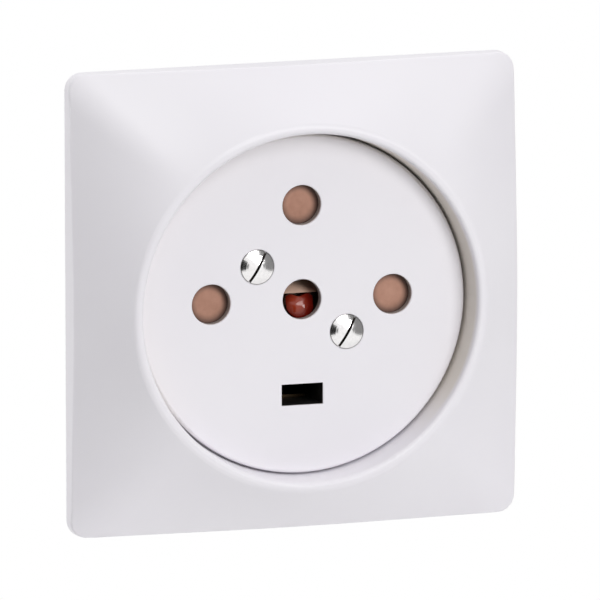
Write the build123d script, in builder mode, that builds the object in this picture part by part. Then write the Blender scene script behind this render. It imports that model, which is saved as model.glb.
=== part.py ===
"""Flush three-phase wall socket: three phases, neutral and earth, with a sliding shutter.

X runs right, Z up and -Y out of the wall towards the viewer. The origin lies on the wall's
surface, at the middle of the round pin pattern. The rim and the round cover inside it sit a
little lower, as the pictured socket has them. A height is a distance off the wall, so the pieces
inside the wall box have negative heights.
"""

import os
from math import atan2, copysign, cos, degrees, hypot, radians, sin, sqrt, tan

from build123d import *

# Plug pattern
pin_diameter = 6.0
pin_offset = 16.25
pin_hole_clearance = 0.45
earth_offset = 16.4
earth_slot_width = 7.45
earth_slot_height = 3.7
earth_collar_wall = 1.3
earth_face = 0.4

# Cover plate
plate_corner = 3.0
plate_draft = 2.0
plate_edge_round = 0.45
edge_flare = 3.9
flare_corner = 5.5
plate_wall = 1.8
slope_wall = 2.3
ring_drop = 0.8
recess_depth = 5.4
recess_draft = 4.0
rim_land = 1.5
rim_outer_round = 1.4
rim_inner_round = 0.7
collar_wall = 1.9
ledge_gap = 0.6
ledge_width = 1.4
ledge_clearance = 0.2
ledge_thickness = 1.2

# Front cover
cover_gap = 0.3
cover_wall = 1.6
cover_round = 0.6
hole_round = 0.2

# Cover screws and their inserts
screw_x = 8.0
screw_z = 6.0
screw_diameter = 3.0
screw_head_diameter = 6.0
countersink = 90.0
screw_dome = 0.75
screw_slot_width = 0.75
screw_slot_depth = 0.95
screw_slot_turn = 60.0
screw_end_height = -3.2
screw_clearance = 0.2
seat_gap = 0.1
thread_gap = 0.05
insert_diameter = 4.6
insert_top = 0.2
insert_length = 4.4

# Shutter
shutter_gap = 0.2
shutter_thickness = 1.8
shutter_overlap = 0.6
shutter_side_margin = 0.75
shutter_shoulder_margin = 1.2
shutter_top_margin = 1.7
shutter_corner = 1.6
window_clearance = 0.6
pillar_diameter = 5.2
pillar_clearance = 0.3
cup_radius = 4.1
cup_boss_half_width = 4.9
cup_boss_depth = 3.0
cup_floor = 0.8
notch_bottom = 5.1
notch_depth = 1.5
notch_clearance = 0.55

# Shutter ramp
ramp_offset = 0.4
ramp_half_width = 2.4
ramp_foot = -3.6
ramp_shoulder = -1.8
ramp_crown = 0.0
ramp_bump = 0.4
ramp_bump_offset = 1.25
ramp_gap = 0.25
ramp_toe = 4.2

# Return springs
spring_offset = 13.0
spring_diameter = 2.8
spring_wire = 0.4
spring_turns = 8
spring_height = 4.0
peg_diameter = 1.7
peg_length = 2.0

# Housings
flange_thickness = 2.2
flange_lip = 1.0
housing_spigot_end = -3.0
housing_wall = 1.6
spigot_gap = 0.2
guide_diameter = 6.8
guide_wall = 1.8
track_gap = 0.2
track_width = 1.5
track_reach = 14.0
track_clearance = 0.3
stop_gap = 0.1
stop_length = 2.0
stop_inset = 0.45
spring_stop_width = 3.8
base_floor = 2.0
base_wall = 1.6
partition_thickness = 1.2
partition_height = -5.4
partition_gap = 0.2

# Mounting strap
strap_thickness = 1.2
strap_corner = 9.0
strap_gap = 0.3
strap_web = 1.5
strap_rim = 2.0
strap_margin = 2.7
box_slot_length = 7.0
box_slot_width = 3.9
box_screw_head_diameter = 8.4

# Contacts
sleeve_bore = 6.06
sleeve_wall = 0.75
sleeve_top = -1.2
sleeve_end = -14.0
sleeve_slit = 0.9
sleeve_seat_gap = 0.2
contact_room = 4.32
tail_thickness = 1.0
tail_width = 7.0
grip_thickness = 0.5
grip_gap = 0.05
grip_length = 3.0
grip_slit = 1.5
grip_height = -8.0
leaf_thickness = 0.8
leaf_width = 6.4
leaf_gap = 2.9

# Terminals
neutral_angle = 45
earth_angle = -90
terminal_size = 8.0
terminal_height = 9.0
terminal_gap = 0.8
wire_hole_diameter = 5.0
wire_entry_diameter = 5.8
wire_hole_roof = 1.5
terminal_screw_diameter = 3.5
terminal_screw_head_diameter = 5.5
terminal_screw_head = 1.6
terminal_screw_slot = 0.8
screw_access_diameter = 6.2

# Housing screws
housing_screw_diameter = 3.0
housing_screw_head_diameter = 5.6
housing_screw_head = 1.8
housing_screw_bite = 3.0
housing_post_diameter = 6.8
housing_post_inset = 0.9

# Radii and widths that follow from the ones above, from the pins outwards
pin_hole_radius = pin_diameter / 2 + pin_hole_clearance
window_radius = pin_diameter / 2 + window_clearance
sleeve_outer = sleeve_bore / 2 + sleeve_wall
grip_inner = sleeve_outer + grip_gap
base_inner_radius = pin_offset + grip_inner + grip_thickness + contact_room
base_radius = base_inner_radius + base_wall
terminal_face_radius = base_inner_radius - terminal_gap - terminal_screw_head
terminal_radius = terminal_face_radius - terminal_size / 2
housing_screw_radius = base_inner_radius - housing_post_inset - housing_post_diameter / 2
housing_post_offset = housing_screw_radius / sqrt(2)
spigot_radius = base_inner_radius - spigot_gap
strap_hole_radius = spigot_radius + strap_gap
box_screw_pitch = 2 * (strap_hole_radius + strap_web) + box_slot_length
strap_side = box_screw_pitch + box_slot_length + 2 * strap_rim
plate_side = strap_side + 2 * (strap_margin + plate_wall)
plate_half = plate_side / 2
flange_radius = base_radius + flange_lip
ledge_radius = flange_radius + ledge_gap
recess_radius = ledge_radius + ledge_width
cover_radius = recess_radius - cover_gap
fork_height = leaf_gap + 2 * leaf_thickness

# Heights that follow, from the strap forwards and from the contacts back
housing_face = strap_thickness + flange_thickness
ledge_back = housing_face + ledge_clearance
ledge_front = ledge_back + ledge_thickness
shutter_back = housing_face + shutter_gap
shutter_cup_back = shutter_back - cup_boss_depth
pocket_floor = shutter_cup_back - shutter_gap
cover_back = shutter_back + shutter_thickness + shutter_gap
cover_height = cover_back + cover_wall
rim_height = cover_height + recess_depth
rim_radius = recess_radius + (rim_height - ledge_front) * tan(radians(recess_draft)) + rim_land
track_height = cover_back - track_clearance - housing_face
ramp_front = cover_back - ramp_gap
insert_bottom = insert_top - insert_length
terminal_top = sleeve_end - tail_thickness
terminal_bottom = terminal_top - terminal_height
terminal_screw_height = terminal_top - terminal_height / 2
base_end = terminal_bottom - base_floor

# The shutter's outline, whose travel is what the earth collar below it leaves
shutter_travel = earth_offset - earth_slot_height / 2 - earth_collar_wall - notch_clearance - notch_bottom
shutter_half_width = pin_offset + window_radius + shutter_side_margin
shutter_shoulder = shutter_travel + window_radius + shutter_shoulder_margin
shutter_top = pin_offset + pin_hole_radius + shutter_overlap
shutter_bottom = notch_bottom + notch_depth
notch_half_width = earth_slot_width / 2 + earth_collar_wall + window_clearance
pillar_slot = pillar_diameter + 2 * pillar_clearance
shutter_top_half_width = screw_x + pillar_slot / 2 + shutter_top_margin
spring_stop_reach = sqrt((flange_radius - stop_inset) ** 2 - (spring_offset + spring_stop_width / 2) ** 2)
spring_end = stop_length - spring_stop_reach

# Places seen from the front
ring_middle = (0, -ring_drop)
quarters = (0, 90, 180, 270)
outer_pins = {"l1": 180, "l2": 90, "l3": 0}
terminal_angles = {**outer_pins, "neutral": neutral_angle, "earth": earth_angle}
screw_places = [(-screw_x, screw_z), (screw_x, -screw_z)]
post_places = [(-housing_post_offset, housing_post_offset), (housing_post_offset, -housing_post_offset)]


def level(height):
    """Sketch plane that faces the viewer at a height off the wall."""
    return Plane.XZ.offset(height)


def around(radius, angle):
    """Point of the front view at a radius and an angle from the right."""
    return radius * cos(radians(angle)), radius * sin(radians(angle))


def save(block, name):
    """Labels a finished piece and writes it."""
    block.part.label = name
    export_step(block.part, f"parts/{name}.step")


def make_pillow(drop):
    """Solid under a slope that runs from a round rim out to a rounded square, lowered by drop."""
    flare_half = plate_half + edge_flare
    corner_centre = (flare_half - flare_corner) * sqrt(2)
    corner_start = degrees(atan2(flare_half - flare_corner, flare_half))
    with BuildPart() as pillow:
        with BuildSketch(level(-drop)):
            with BuildLine():
                corners = []
                for turn in quarters:
                    corners.append(CenterArc(around(corner_centre, 45 + turn), flare_corner, turn, 90))
                for corner, following in zip(corners, corners[1:] + corners[:1]):
                    Line(corner @ 1, following @ 0)
            make_face()
        with BuildSketch(level(rim_height - drop)):
            with BuildLine():
                for turn in quarters:
                    CenterArc(ring_middle, rim_radius, turn + corner_start, 90 - 2 * corner_start)
                    CenterArc(ring_middle, rim_radius, turn + 90 - corner_start, 2 * corner_start)
            make_face()
        loft(ruled=True)
    return pillow.part


def make_cover_plate():
    """Square plate whose slopes rise to a round rim, with a deep drafted recess and an inner ledge."""
    with BuildPart() as cavity:
        add(make_pillow(slope_wall))
        with BuildSketch(level(-slope_wall)):
            side = plate_side - 2 * plate_wall
            RectangleRounded(side, side, plate_corner - plate_wall)
        extrude(amount=2 * rim_height, taper=plate_draft, mode=Mode.INTERSECT)
        with BuildSketch(level(ledge_back)):
            with Locations(ring_middle):
                Circle(recess_radius + collar_wall)
        extrude(amount=rim_height, mode=Mode.SUBTRACT)
    with BuildPart() as plate:
        add(make_pillow(0))
        with BuildSketch(level(0)):
            RectangleRounded(plate_side, plate_side, plate_corner)
        extrude(amount=2 * rim_height, taper=plate_draft, mode=Mode.INTERSECT)
        steepest = sin(radians(2 * plate_draft))
        side_faces = plate.faces().filter_by(lambda face: abs(face.normal_at().Y) < steepest)
        slope_edges = (plate.faces() - side_faces).edges()
        front_edges = side_faces.edges().filter_by(lambda edge: edge in slope_edges)
        fillet(front_edges.filter_by(lambda edge: (edge @ 0.5).Y < -plate_edge_round), plate_edge_round)
        with BuildSketch(level(ledge_front)):
            with Locations(ring_middle):
                Circle(recess_radius)
        extrude(amount=rim_height, taper=-recess_draft, mode=Mode.SUBTRACT)
        round_edges = plate.edges().filter_by(GeomType.CIRCLE)
        rim_edges = round_edges.filter_by_position(Axis.Y, -rim_height, -rim_height)
        fillet(rim_edges.filter_by(lambda edge: edge.radius > rim_radius - rim_land / 2), rim_outer_round)
        recess_edge = plate.edges().filter_by(GeomType.CIRCLE).group_by(Axis.Y)[0]
        fillet(recess_edge.sort_by(SortBy.RADIUS)[0], rim_inner_round)
        add(cavity.part, mode=Mode.SUBTRACT)
        with BuildSketch(level(0)):
            with Locations(ring_middle):
                Circle(ledge_radius)
        extrude(amount=rim_height, mode=Mode.SUBTRACT)
    return plate


def make_front_cover():
    """Round cup with the pin holes, the earth opening and the two screw seats."""
    collar_room = 2 * (earth_collar_wall + shutter_gap)
    with BuildPart() as cover:
        with BuildSketch(level(ledge_front)):
            with Locations(ring_middle):
                Circle(cover_radius)
        extrude(amount=cover_height - ledge_front)
        fillet(cover.edges().group_by(Axis.Y)[0], cover_round)
        with BuildSketch(level(ledge_front)):
            with Locations(ring_middle):
                Circle(cover_radius - cover_wall)
        extrude(amount=cover_back - ledge_front, mode=Mode.SUBTRACT)
        with BuildSketch(level(cover_back)):
            with Locations((0, 0), *[around(pin_offset, angle) for angle in outer_pins.values()]):
                Circle(pin_hole_radius)
            with Locations((0, -earth_offset)):
                Rectangle(earth_slot_width, earth_slot_height)
        extrude(amount=cover_wall, mode=Mode.SUBTRACT)
        with BuildSketch(level(cover_back)):
            with Locations((0, -earth_offset)):
                Rectangle(earth_slot_width + collar_room, earth_slot_height + collar_room)
        extrude(amount=cover_wall - earth_face, mode=Mode.SUBTRACT)
        hole_edges = cover.edges().filter_by(GeomType.CIRCLE).group_by(Axis.Y)[0]
        fillet(hole_edges.filter_by(lambda edge: edge.radius < pin_diameter), hole_round)
        shank_hole = screw_diameter / 2 + screw_clearance
        with Locations(level(cover_height)):
            with Locations(*screw_places):
                CounterSinkHole(shank_hole, screw_head_diameter / 2 + seat_gap, cover_wall, countersink)
    return cover


def make_cover_screw(place):
    """Raised countersunk screw with a slot, seated flush in the front cover."""
    head_radius = screw_head_diameter / 2
    shank_radius = screw_diameter / 2
    head_depth = (head_radius - shank_radius) / tan(radians(countersink / 2))
    dome_radius = (head_radius**2 + screw_dome**2) / (2 * screw_dome)
    x, z = place
    with BuildPart() as screw:
        with BuildSketch(Plane((x, 0, z), x_dir=(1, 0, 0), z_dir=(0, 0, 1))):
            with BuildLine():
                profile = Polyline(
                    (0, -screw_end_height),
                    (shank_radius, -screw_end_height),
                    (shank_radius, -cover_height + head_depth),
                    (head_radius, -cover_height),
                )
                dome = RadiusArc(profile @ 1, (0, -cover_height - screw_dome), dome_radius)
                Line(dome @ 1, profile @ 0)
            make_face()
        revolve(axis=Axis((x, 0, z), (0, 1, 0)))
        with BuildSketch(level(cover_height + screw_dome - screw_slot_depth)):
            with Locations((x, z)):
                Rectangle(2 * screw_head_diameter, screw_slot_width, rotation=screw_slot_turn)
        extrude(amount=screw_slot_depth, mode=Mode.SUBTRACT)
    return screw


def make_insert(place):
    """Threaded brass insert pressed into the front housing."""
    with BuildPart() as insert:
        with BuildSketch(level(insert_bottom)):
            with Locations(place):
                Circle(insert_diameter / 2)
                Circle(screw_diameter / 2 + thread_gap, mode=Mode.SUBTRACT)
        extrude(amount=insert_length)
    return insert


def make_shutter():
    """Sliding plate that closes the round holes, with windows, pillar slots and a channel behind the ramp."""
    floor = shutter_cup_back + cup_floor
    with BuildPart() as channel:
        with BuildSketch(level(floor)):
            Circle(cup_radius)
            with Locations((0, shutter_travel / 2)):
                Rectangle(2 * window_radius, shutter_travel)
        extrude(amount=cup_boss_depth + shutter_thickness)
        with BuildSketch(Plane.YZ):
            slope_start = ramp_crown + ramp_bump + ramp_gap
            slope_end = shutter_travel - window_radius
            with BuildLine():
                Polyline((-floor, slope_start), (-ramp_toe, slope_start), (-floor, slope_end), close=True)
            make_face()
        extrude(amount=2 * cup_radius, both=True, mode=Mode.SUBTRACT)
    with BuildPart() as shutter:
        with BuildSketch(level(shutter_back)):
            with Locations((0, (shutter_shoulder - shutter_bottom) / 2)):
                Rectangle(2 * shutter_half_width, shutter_shoulder + shutter_bottom)
            with Locations((0, (shutter_shoulder + shutter_top) / 2)):
                Rectangle(2 * shutter_top_half_width, shutter_top - shutter_shoulder)
            with Locations((0, -shutter_bottom)):
                Rectangle(2 * notch_half_width, 2 * (shutter_bottom - notch_bottom), mode=Mode.SUBTRACT)
        extrude(amount=shutter_thickness)
        corners = shutter.edges().filter_by(Axis.Y)
        clear_of_notch = notch_half_width + shutter_gap
        fillet(corners.filter_by(lambda edge: abs(edge.center().X) > clear_of_notch), shutter_corner)
        with BuildSketch(level(shutter_cup_back)):
            with Locations((0, 0)):
                Circle(cup_boss_half_width)
            with Locations((0, shutter_travel / 2)):
                Rectangle(2 * cup_boss_half_width, shutter_travel)
            with Locations((0, shutter_travel)):
                Circle(cup_boss_half_width)
        extrude(amount=cup_boss_depth)
        with BuildSketch(level(shutter_cup_back)):
            with Locations(*[(x, shutter_travel) for x in (-pin_offset, 0, pin_offset)]):
                Circle(window_radius)
        extrude(amount=cup_boss_depth + shutter_thickness, mode=Mode.SUBTRACT)
        add(channel.part, mode=Mode.SUBTRACT)
        with BuildSketch(level(shutter_back)):
            for x, z in screw_places:
                with Locations((x, z + shutter_travel / 2)):
                    SlotOverall(shutter_travel + pillar_slot, pillar_slot, rotation=90)
        extrude(amount=shutter_thickness, mode=Mode.SUBTRACT)
        with BuildSketch(Plane.XY.offset(-shutter_bottom)):
            with Locations((-spring_offset, -spring_height), (spring_offset, -spring_height)):
                Circle(peg_diameter / 2)
        extrude(amount=-peg_length)
    return shutter


def make_shutter_ramp():
    """Glossy wedge with a two-bumped crown that turns the centre pin's push into travel."""
    floor = shutter_cup_back + cup_floor
    with BuildPart() as ramp:
        with BuildSketch(level(floor).move(Location((ramp_offset, 0, 0)))):
            with BuildLine():
                left = Line((-ramp_half_width, ramp_crown), (-ramp_half_width, ramp_shoulder))
                foot = ThreePointArc(left @ 1, (0, ramp_foot), (ramp_half_width, ramp_shoulder))
                right = Line(foot @ 1, (ramp_half_width, ramp_crown))
                Spline(
                    right @ 1,
                    (ramp_bump_offset, ramp_crown + ramp_bump),
                    (0, ramp_crown),
                    (-ramp_bump_offset, ramp_crown + ramp_bump),
                    left @ 0,
                )
            make_face()
        extrude(amount=ramp_front - floor)
        rise, run = ramp_front - ramp_toe, ramp_crown - ramp_foot
        slope = Plane((0, -ramp_front, ramp_foot), x_dir=(1, 0, 0), z_dir=(0, -run, rise))
        split(bisect_by=slope, keep=Keep.BOTTOM)
    return ramp


def make_return_spring(x):
    """Compression spring below the shutter, closed at both ends."""
    top = -shutter_bottom
    coil_radius = (spring_diameter - spring_wire) / 2
    height = top - spring_end - spring_wire
    with BuildPart() as spring:
        with BuildLine(Plane((x, -spring_height, spring_end + spring_wire / 2))):
            coil = Helix(height / spring_turns, height, coil_radius)
        with BuildSketch(Plane(coil @ 0, z_dir=coil % 0)):
            Circle(spring_wire / 2)
        sweep(path=coil, is_frenet=True)
    return spring


def make_front_housing():
    """Insulating carrier with the shutter's tracks, the pin guides and the screw pillars."""
    guides = [around(pin_offset, angle) for angle in outer_pins.values()]
    pocket_low = -cup_boss_half_width - shutter_travel - track_gap
    pocket_high = shutter_travel + cup_boss_half_width + track_gap
    pocket_half = cup_boss_half_width + track_gap
    collar_width = earth_slot_width + 2 * earth_collar_wall
    collar_height = earth_slot_height + 2 * earth_collar_wall
    track_offset = shutter_half_width + track_gap + track_width / 2
    with BuildPart() as housing:
        with BuildSketch(level(strap_thickness)):
            with Locations(ring_middle):
                Circle(flange_radius)
            with Locations(*[around(box_screw_pitch / 2, turn) for turn in quarters]):
                Circle(box_screw_head_diameter / 2, mode=Mode.SUBTRACT)
        extrude(amount=housing_face - strap_thickness)
        with BuildSketch(level(housing_spigot_end)):
            Circle(spigot_radius)
            Circle(spigot_radius - housing_wall, mode=Mode.SUBTRACT)
            with Locations(*guides):
                Circle(guide_diameter / 2 + guide_wall)
            with Locations(*post_places):
                Circle(housing_post_diameter / 2)
            with Locations((0, -earth_offset)):
                Rectangle(earth_slot_width + 2 * guide_wall, earth_slot_height + 2 * guide_wall)
            with Locations((0, (pocket_low + pocket_high) / 2)):
                Rectangle(2 * (pocket_half + housing_wall), pocket_high - pocket_low + 2 * housing_wall)
            Circle(spigot_radius, mode=Mode.INTERSECT)
        extrude(amount=strap_thickness - housing_spigot_end)
        with BuildSketch(level(insert_bottom)):
            with Locations(*screw_places):
                Circle(insert_diameter / 2 + housing_wall)
        extrude(amount=strap_thickness - insert_bottom)
        with BuildSketch(level(housing_face)):
            with Locations(*screw_places):
                Circle(pillar_diameter / 2)
        extrude(amount=cover_back - housing_face)
        with BuildSketch(level(housing_face)):
            with Locations((0, -earth_offset)):
                Rectangle(collar_width, collar_height)
        extrude(amount=cover_height - earth_face - seat_gap - housing_face)
        with BuildSketch(level(housing_face)):
            with Locations((-track_offset, 0), (track_offset, 0)):
                Rectangle(track_width, 2 * track_reach)
            with Locations((0, shutter_top + stop_gap + stop_length / 2)):
                Rectangle(shutter_top_half_width, stop_length)
            with Locations(*[(x, spring_end - stop_length / 2) for x in (-spring_offset, spring_offset)]):
                Rectangle(spring_stop_width, stop_length)
        extrude(amount=track_height)
        with BuildSketch(level(pocket_floor)):
            with Locations((0, (pocket_low + pocket_high) / 2)):
                SlotOverall(pocket_high - pocket_low, 2 * pocket_half, rotation=90)
        extrude(amount=housing_face - pocket_floor, mode=Mode.SUBTRACT)
        with BuildSketch(level(housing_spigot_end)):
            with Locations((0, 0), *guides):
                Circle(guide_diameter / 2)
            with Locations((0, -earth_offset)):
                Rectangle(earth_slot_width, earth_slot_height)
            with Locations(*screw_places):
                Circle(screw_diameter / 2 + screw_clearance)
        extrude(amount=cover_height - housing_spigot_end, mode=Mode.SUBTRACT)
        with BuildSketch(level(housing_spigot_end)):
            with Locations((0, 0), *guides):
                Circle(sleeve_outer + sleeve_seat_gap)
            with Locations((0, -earth_offset)):
                Rectangle(leaf_width + 2 * sleeve_seat_gap, fork_height + 2 * sleeve_seat_gap)
        extrude(amount=sleeve_top - housing_spigot_end, mode=Mode.SUBTRACT)
        with BuildSketch(level(insert_bottom)):
            with Locations(*screw_places):
                Circle(insert_diameter / 2)
        extrude(amount=insert_length, mode=Mode.SUBTRACT)
        with BuildSketch(level(housing_spigot_end)):
            with Locations(*post_places):
                Circle(housing_screw_diameter / 2 + thread_gap)
        extrude(amount=housing_screw_bite, mode=Mode.SUBTRACT)
        with BuildSketch(Plane.XY.offset(spring_end)):
            with Locations((-spring_offset, -spring_height), (spring_offset, -spring_height)):
                Circle(spring_diameter / 2 + shutter_gap)
        extrude(amount=-shutter_bottom - spring_end, mode=Mode.SUBTRACT)
    return housing


def make_mounting_strap():
    """Flat steel frame with four slots for the wall box's screws."""
    with BuildPart() as strap:
        with BuildSketch(level(0)):
            corners = Rectangle(strap_side, strap_side).vertices()
            chamfer(corners, strap_corner)
            Circle(strap_hole_radius, mode=Mode.SUBTRACT)
            for turn in quarters:
                with Locations(around(box_screw_pitch / 2, turn)):
                    SlotOverall(box_slot_length, box_slot_width, rotation=turn, mode=Mode.SUBTRACT)
        extrude(amount=strap_thickness)
    return strap


def make_rear_housing():
    """Insulating cup with a chamber for each contact, wire entries and screw access holes."""
    with BuildPart() as housing:
        with BuildSketch(level(base_end)):
            Circle(base_radius)
        extrude(amount=-base_end)
        with BuildSketch(level(terminal_bottom)):
            Circle(base_inner_radius)
        extrude(amount=-terminal_bottom, mode=Mode.SUBTRACT)
        with BuildSketch(level(terminal_bottom)):
            angles = sorted(angle % 360 for angle in terminal_angles.values())
            for angle, following in zip(angles, angles[1:] + [angles[0] + 360]):
                half_gap = radians((following - angle) / 2)
                side = terminal_size / 2 + partition_gap + partition_thickness / 2 * cos(half_gap)
                start = side / sin(half_gap)
                length = base_radius - base_wall / 2 - start
                with Locations(around(start + length / 2, (angle + following) / 2)):
                    Rectangle(length, partition_thickness, rotation=(angle + following) / 2)
        extrude(amount=partition_height - terminal_bottom)
        with BuildSketch(level(terminal_bottom)):
            with Locations(*post_places):
                Circle(housing_post_diameter / 2)
        extrude(amount=housing_spigot_end - terminal_bottom)
        with BuildSketch(level(base_end)):
            with Locations(*post_places):
                Circle(housing_screw_diameter / 2 + screw_clearance)
            with Locations(*[around(terminal_radius, angle) for angle in terminal_angles.values()]):
                Circle(wire_entry_diameter / 2)
        extrude(amount=-base_end, mode=Mode.SUBTRACT)
        with BuildSketch(level(base_end)):
            with Locations(*post_places):
                Circle(housing_screw_head_diameter / 2 + screw_clearance)
        extrude(amount=base_floor, mode=Mode.SUBTRACT)
        for angle in terminal_angles.values():
            with BuildSketch(terminal_face(angle)):
                Circle(screw_access_diameter / 2)
            extrude(amount=terminal_size, mode=Mode.SUBTRACT)
    return housing


def make_pin_contact(place, angle):
    """Slit brass sleeve with a flat tail that runs out to its terminal."""
    x, z = place
    reach = terminal_face_radius - tail_thickness - hypot(x, z)
    with BuildPart() as contact:
        with BuildSketch(level(sleeve_end)):
            with Locations(place):
                Circle(sleeve_outer)
        extrude(amount=sleeve_top - sleeve_end)
        with BuildSketch(level(terminal_top)):
            with Locations(place):
                Circle(sleeve_outer)
                with Locations(around(reach / 2, angle)):
                    Rectangle(reach, tail_width, rotation=angle)
        extrude(amount=tail_thickness)
        with BuildSketch(level(terminal_top)):
            with Locations(place):
                Circle(sleeve_bore / 2)
        extrude(amount=sleeve_top - terminal_top, mode=Mode.SUBTRACT)
        with BuildSketch(level(sleeve_end)):
            with Locations(place):
                with Locations(around(-sleeve_outer / 2, angle)):
                    Rectangle(sleeve_outer, sleeve_slit, rotation=angle)
        extrude(amount=sleeve_top - sleeve_end, mode=Mode.SUBTRACT)
    return contact


def make_earth_contact():
    """Brass fork whose two leaves grip the flat earth pin."""
    reach = terminal_face_radius - tail_thickness
    near = earth_offset - fork_height / 2
    with BuildPart() as contact:
        with BuildSketch(level(sleeve_end)):
            with Locations((0, -earth_offset)):
                Rectangle(leaf_width, fork_height)
                Rectangle(leaf_width, leaf_gap, mode=Mode.SUBTRACT)
        extrude(amount=sleeve_top - sleeve_end)
        with BuildSketch(level(terminal_top)):
            with Locations((0, -(near + reach) / 2)):
                Rectangle(tail_width, reach - near)
        extrude(amount=tail_thickness)
    return contact


def make_grip_spring(place, angle):
    """Split steel ring that keeps a sleeve closed on its pin."""
    with BuildPart() as ring:
        with BuildSketch(level(grip_height)):
            with Locations(place):
                Circle(grip_inner + grip_thickness)
                Circle(grip_inner, mode=Mode.SUBTRACT)
                with Locations(around(-grip_inner, angle)):
                    Rectangle(grip_inner, grip_slit, rotation=angle, mode=Mode.SUBTRACT)
        extrude(amount=grip_length)
    return ring


def terminal_face(angle):
    """Plane on a terminal's outer face at its screw's axis, facing away from the middle."""
    x, z = around(terminal_face_radius, angle)
    return Plane((x, -terminal_screw_height, z), x_dir=(0, 1, 0), z_dir=(x, 0, z))


def make_terminal(angle):
    """Brass block with a hole for the wire and a threaded hole for its clamping screw."""
    with BuildPart() as terminal:
        with BuildSketch(level(terminal_bottom)):
            with Locations(around(terminal_radius, angle)):
                Rectangle(terminal_size, terminal_size, rotation=angle)
        extrude(amount=terminal_top - terminal_bottom)
        with BuildSketch(level(terminal_bottom)):
            with Locations(around(terminal_radius, angle)):
                Circle(wire_hole_diameter / 2)
        extrude(amount=terminal_height - wire_hole_roof, mode=Mode.SUBTRACT)
        with BuildSketch(terminal_face(angle)):
            Circle(terminal_screw_diameter / 2 + thread_gap)
        extrude(amount=-terminal_size / 2, mode=Mode.SUBTRACT)
    return terminal


def make_terminal_screw(angle):
    """Slotted cheese-head screw that clamps the wire from the side."""
    with BuildPart() as screw:
        with BuildSketch(terminal_face(angle)):
            Circle(terminal_screw_head_diameter / 2)
        extrude(amount=terminal_screw_head)
        with BuildSketch(terminal_face(angle).offset(terminal_screw_head)):
            Rectangle(2 * terminal_screw_head_diameter, terminal_screw_slot)
        extrude(amount=-terminal_screw_head / 2, mode=Mode.SUBTRACT)
        with BuildSketch(terminal_face(angle)):
            Circle(terminal_screw_diameter / 2)
        extrude(amount=-(terminal_size - wire_hole_diameter) / 2)
    return screw


def make_housing_screw(place):
    """Long slotted screw that pulls the two housings together on the strap."""
    with BuildPart() as screw:
        with BuildSketch(level(terminal_bottom)):
            with Locations(place):
                Circle(housing_screw_diameter / 2)
        extrude(amount=housing_spigot_end + housing_screw_bite - terminal_bottom)
        with BuildSketch(level(terminal_bottom)):
            with Locations(place):
                Circle(housing_screw_head_diameter / 2)
        extrude(amount=-housing_screw_head)
        with BuildSketch(level(terminal_bottom - housing_screw_head)):
            with Locations(place):
                Rectangle(2 * housing_screw_head_diameter, terminal_screw_slot)
        extrude(amount=housing_screw_head / 2, mode=Mode.SUBTRACT)
    return screw


os.makedirs("parts", exist_ok=True)
save(make_cover_plate(), "cover_plate")
save(make_front_cover(), "front_cover")
save(make_shutter(), "shutter")
save(make_shutter_ramp(), "shutter_ramp")
save(make_front_housing(), "front_housing")
save(make_mounting_strap(), "mounting_strap")
save(make_rear_housing(), "rear_housing")
save(make_earth_contact(), "earth_contact")
for side, place in zip(("left", "right"), screw_places):
    save(make_cover_screw(place), f"cover_screw_{side}")
    save(make_insert(place), f"screw_insert_{side}")
    save(make_return_spring(copysign(spring_offset, place[0])), f"shutter_spring_{side}")
for position, place in zip(("upper", "lower"), post_places):
    save(make_housing_screw(place), f"housing_screw_{position}")
for line, angle in terminal_angles.items():
    save(make_terminal(angle), f"terminal_{line}")
    save(make_terminal_screw(angle), f"terminal_screw_{line}")
    if line != "earth":
        place = around(pin_offset, angle) if line in outer_pins else (0, 0)
        save(make_pin_contact(place, angle), f"contact_{line}")
        save(make_grip_spring(place, angle), f"grip_spring_{line}")
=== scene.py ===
"""Flush three-phase wall socket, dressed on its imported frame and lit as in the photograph.

The sections follow the socket's assembly, from the rear housing out to the cover screws, and
the studio comes last. Lengths are in metres, in the frame's axes: X right, Z up, -Y to the front.
"""

from math import cos, pi, radians, sin

import bpy
from mathutils import Matrix, Vector


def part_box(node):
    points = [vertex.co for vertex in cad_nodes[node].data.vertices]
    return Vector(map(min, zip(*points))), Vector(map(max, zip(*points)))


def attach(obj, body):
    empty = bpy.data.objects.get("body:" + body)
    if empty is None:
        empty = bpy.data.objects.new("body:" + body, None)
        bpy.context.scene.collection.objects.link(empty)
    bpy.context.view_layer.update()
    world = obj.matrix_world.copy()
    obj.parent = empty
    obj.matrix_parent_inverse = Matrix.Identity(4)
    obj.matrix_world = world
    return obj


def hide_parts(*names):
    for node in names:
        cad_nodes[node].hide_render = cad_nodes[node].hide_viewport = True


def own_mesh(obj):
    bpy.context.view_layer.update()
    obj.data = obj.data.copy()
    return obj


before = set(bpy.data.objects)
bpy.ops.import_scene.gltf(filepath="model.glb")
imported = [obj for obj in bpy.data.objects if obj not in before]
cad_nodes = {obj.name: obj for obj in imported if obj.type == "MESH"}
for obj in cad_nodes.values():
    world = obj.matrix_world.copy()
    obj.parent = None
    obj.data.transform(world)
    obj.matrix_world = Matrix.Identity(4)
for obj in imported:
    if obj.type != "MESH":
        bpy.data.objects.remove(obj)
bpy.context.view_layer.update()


# Rear housing: the insulating base that carries the terminals inside the wall box.
# Compression-moulded thermoset, near black, with a dull skin that flows in faint clouds.
def linear(hex_colour):
    """The linear colour that a shader takes, from an sRGB hex value."""
    channels = [int(hex_colour[at : at + 2], 16) / 255 for at in (1, 3, 5)]
    return [c / 12.92 if c <= 0.04045 else ((c + 0.055) / 1.055) ** 2.4 for c in channels] + [1.0]


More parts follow.
